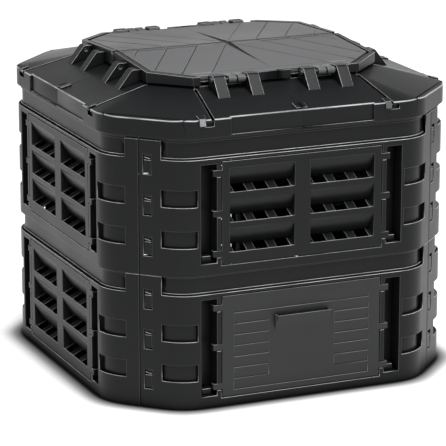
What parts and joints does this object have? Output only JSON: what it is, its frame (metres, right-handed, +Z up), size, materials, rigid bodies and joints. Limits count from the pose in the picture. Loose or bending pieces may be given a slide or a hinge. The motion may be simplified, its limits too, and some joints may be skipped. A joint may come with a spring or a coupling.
{
  "type": "garden composter",
  "caption": "Square garden composter with cut corners: interlocking wall panels in tiers, louvred vents, a tilting bottom door and a sloped roof with a pair of hinged lid halves.",
  "frame": {"origin": "middle of the ground outline, at the height of the ground", "axes": "+Z up, -Y out of the front wall with the door, +X to the right seen from the front"},
  "size_m": [0.8066, 0.8188, 0.6971],
  "materials": {
    "wall_plastic": "satin",
    "louvre_plastic": "satin",
    "door_plastic": "satin",
    "roof_plastic": "satin",
    "lid_plastic": "satin",
    "pin_plastic": "satin"
  },
  "bodies": {
    "bin": {"wall_lower_front": "wall_plastic", "wall_lower_right": "wall_plastic", "wall_lower_rear": "wall_plastic", "wall_lower_left": "wall_plastic", "wall_upper_front": "wall_plastic", "wall_upper_right": "wall_plastic", "wall_upper_rear": "wall_plastic", "wall_upper_left": "wall_plastic", "louvre_lower_right": "louvre_plastic", "louvre_lower_rear": "louvre_plastic", "louvre_lower_left": "louvre_plastic", "louvre_upper_front": "louvre_plastic", "louvre_upper_right": "louvre_plastic", "louvre_upper_rear": "louvre_plastic", "louvre_upper_left": "louvre_plastic", "roof_front_right": "roof_plastic", "roof_rear_right": "roof_plastic", "roof_rear_left": "roof_plastic", "roof_front_left": "roof_plastic", "pin_front_left": "pin_plastic", "pin_front_right": "pin_plastic", "pin_rear_left": "pin_plastic", "pin_rear_right": "pin_plastic"},
    "lid_front": {"lid_front": "lid_plastic"},
    "lid_rear": {"lid_rear": "lid_plastic"},
    "door": {"door": "door_plastic"}
  },
  "joints": [
    {"name": "lid_front_hinge", "type": "hinge", "parent": "bin", "child": "lid_front", "pos_m": [0, -0.282, 0.6776], "axis": [1, 0, 0], "range_deg": [0, 110]},
    {"name": "lid_rear_hinge", "type": "hinge", "parent": "bin", "child": "lid_rear", "pos_m": [0, 0.282, 0.6776], "axis": [-1, 0, 0], "range_deg": [0, 110]},
    {"name": "door_tilt", "type": "hinge", "parent": "bin", "child": "door", "pos_m": [0, -0.3955, 0.027], "axis": [1, 0, 0], "range_deg": [0, 90]}
  ]
}
